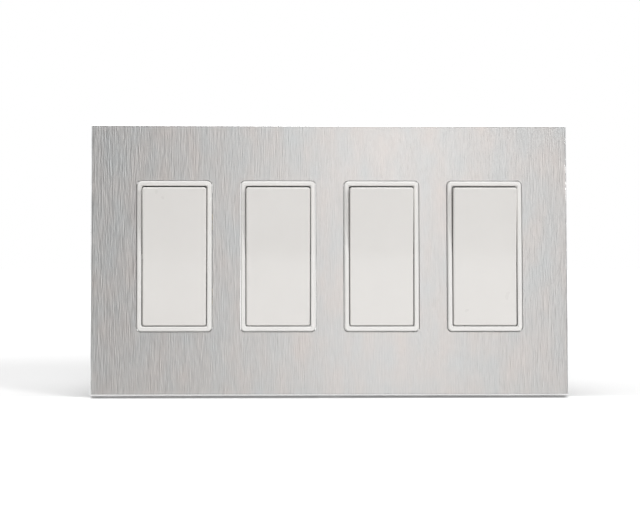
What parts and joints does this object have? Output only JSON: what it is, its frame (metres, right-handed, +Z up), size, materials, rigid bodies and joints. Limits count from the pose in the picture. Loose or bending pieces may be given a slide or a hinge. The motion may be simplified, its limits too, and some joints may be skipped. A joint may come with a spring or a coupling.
{
  "type": "rocker switch plate",
  "caption": "Wide screwless brushed stainless wall plate with a row of white rocker switches, complete with straps, housings and terminals.",
  "frame": {"origin": "middle of the row of switches, on the wall they are fixed to; the cover's own middle is 1.6 mm lower", "axes": "+X along the plate's length, to the right as seen from the front; +Y into the wall, so the front faces -Y; +Z up"},
  "size_m": [0.2126, 0.0359, 0.121],
  "materials": {
    "stainless_cover": "brushed up and down, bright edges",
    "adapter_plastic": "moulded, matt",
    "zinc_steel": "zinc plated",
    "bezel_white": "moulded, semi-gloss",
    "paddle_white": "moulded, semi-gloss",
    "nylon": "natural nylon",
    "spring_steel": "drawn wire",
    "brass": "stamped sheet",
    "silver_alloy": "satin contact metal",
    "housing_plastic": "moulded, matt",
    "screw_steel": "zinc plated",
    "fibre": "pressed fibre",
    "screw_brass": "machined",
    "green_screw": "green passivated"
  },
  "bodies": {
    "plate": {"steel_cover": "stainless_cover", "sub_plate": "adapter_plastic", "strap_1": "zinc_steel", "bezel_1": "bezel_white", "housing_1": "housing_plastic", "common_terminal_1": "brass", "load_terminal_1": "brass", "strap_2": "zinc_steel", "bezel_2": "bezel_white", "housing_2": "housing_plastic", "common_terminal_2": "brass", "load_terminal_2": "brass", "strap_3": "zinc_steel", "bezel_3": "bezel_white", "housing_3": "housing_plastic", "common_terminal_3": "brass", "load_terminal_3": "brass", "strap_4": "zinc_steel", "bezel_4": "bezel_white", "housing_4": "housing_plastic", "common_terminal_4": "brass", "load_terminal_4": "brass", "fixed_points": "silver_alloy", "box_screws": "screw_steel", "plate_screws": "screw_steel", "screw_retainers": "fibre", "terminal_screws": "screw_brass", "wire_clamps": "brass", "ground_screws": "green_screw"},
    "paddle_1": {"paddle_1": "paddle_white", "plunger_spring_1": "spring_steel"},
    "plunger_1": {"plunger_1": "nylon"},
    "contact_1": {"contact_arm_1": "brass", "moving_point_1": "silver_alloy"},
    "paddle_2": {"paddle_2": "paddle_white", "plunger_spring_2": "spring_steel"},
    "plunger_2": {"plunger_2": "nylon"},
    "contact_2": {"contact_arm_2": "brass", "moving_point_2": "silver_alloy"},
    "paddle_3": {"paddle_3": "paddle_white", "plunger_spring_3": "spring_steel"},
    "plunger_3": {"plunger_3": "nylon"},
    "contact_3": {"contact_arm_3": "brass", "moving_point_3": "silver_alloy"},
    "paddle_4": {"paddle_4": "paddle_white", "plunger_spring_4": "spring_steel"},
    "plunger_4": {"plunger_4": "nylon"},
    "contact_4": {"contact_arm_4": "brass", "moving_point_4": "silver_alloy"}
  },
  "joints": [
    {"name": "paddle_1_rock", "type": "hinge", "parent": "plate", "child": "paddle_1", "pos_m": [-0.06906, -0.0046, 0], "axis": [1, 0, 0], "range_deg": [-8, 0]},
    {"name": "plunger_1_slide", "type": "slide", "parent": "paddle_1", "child": "plunger_1", "axis": [0, -0.9976, -0.0698], "range_m": [0, 0.0012], "stiffness_N_per_m": 350, "deforming": ["plunger_spring_1"]},
    {"name": "contact_1_rock", "type": "hinge", "parent": "plate", "child": "contact_1", "pos_m": [-0.06906, 0.0176, 0], "axis": [1, 0, 0], "range_deg": [0, 16]},
    {"name": "paddle_2_rock", "type": "hinge", "parent": "plate", "child": "paddle_2", "pos_m": [-0.02302, -0.0046, 0], "axis": [1, 0, 0], "range_deg": [-8, 0]},
    {"name": "plunger_2_slide", "type": "slide", "parent": "paddle_2", "child": "plunger_2", "axis": [0, -0.9976, -0.0698], "range_m": [0, 0.0012], "stiffness_N_per_m": 350, "deforming": ["plunger_spring_2"]},
    {"name": "contact_2_rock", "type": "hinge", "parent": "plate", "child": "contact_2", "pos_m": [-0.02302, 0.0176, 0], "axis": [1, 0, 0], "range_deg": [0, 16]},
    {"name": "paddle_3_rock", "type": "hinge", "parent": "plate", "child": "paddle_3", "pos_m": [0.02302, -0.0046, 0], "axis": [1, 0, 0], "range_deg": [-8, 0]},
    {"name": "plunger_3_slide", "type": "slide", "parent": "paddle_3", "child": "plunger_3", "axis": [0, -0.9976, -0.0698], "range_m": [0, 0.0012], "stiffness_N_per_m": 350, "deforming": ["plunger_spring_3"]},
    {"name": "contact_3_rock", "type": "hinge", "parent": "plate", "child": "contact_3", "pos_m": [0.02302, 0.0176, 0], "axis": [1, 0, 0], "range_deg": [0, 16]},
    {"name": "paddle_4_rock", "type": "hinge", "parent": "plate", "child": "paddle_4", "pos_m": [0.06906, -0.0046, 0], "axis": [1, 0, 0], "range_deg": [-8, 0]},
    {"name": "plunger_4_slide", "type": "slide", "parent": "paddle_4", "child": "plunger_4", "axis": [0, -0.9976, -0.0698], "range_m": [0, 0.0012], "stiffness_N_per_m": 350, "deforming": ["plunger_spring_4"]},
    {"name": "contact_4_rock", "type": "hinge", "parent": "plate", "child": "contact_4", "pos_m": [0.06906, 0.0176, 0], "axis": [1, 0, 0], "range_deg": [0, 16]}
  ],
  "couplings": [
    {"joint": "contact_1_rock", "follows": "paddle_1_rock", "ratio": -2},
    {"joint": "contact_2_rock", "follows": "paddle_2_rock", "ratio": -2},
    {"joint": "contact_3_rock", "follows": "paddle_3_rock", "ratio": -2},
    {"joint": "contact_4_rock", "follows": "paddle_4_rock", "ratio": -2}
  ]
}
